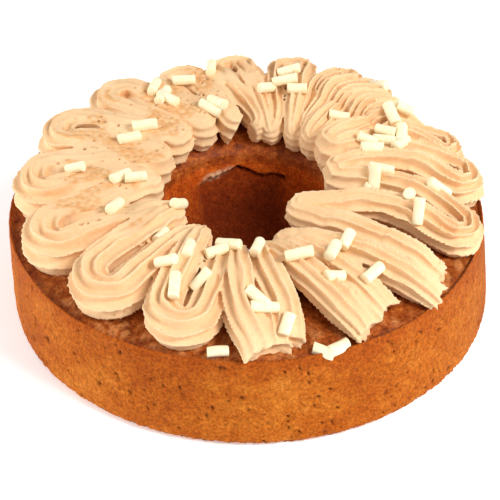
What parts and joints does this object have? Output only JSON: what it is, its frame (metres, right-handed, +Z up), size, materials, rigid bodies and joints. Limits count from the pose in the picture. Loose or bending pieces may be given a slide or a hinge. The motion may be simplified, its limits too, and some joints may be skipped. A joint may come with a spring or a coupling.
{
  "type": "ring cake",
  "caption": "Baked ring cake with a wreath of piped coffee cream lobes round its hole, scattered with short white chocolate sticks.",
  "frame": {"origin": "centre of the cake at the face it stands on", "axes": "+Z up along the axis of the hole, -Y towards the side that the picture shows nearest"},
  "size_m": [0.2221, 0.222, 0.0757],
  "materials": {
    "baked_crust": "matt baked crust",
    "coffee_cream": "satin whipped cream"
  },
  "bodies": {
    "root": {"cake_ring": "baked_crust", "cream_ring": "coffee_cream"}
  },
  "joints": []
}
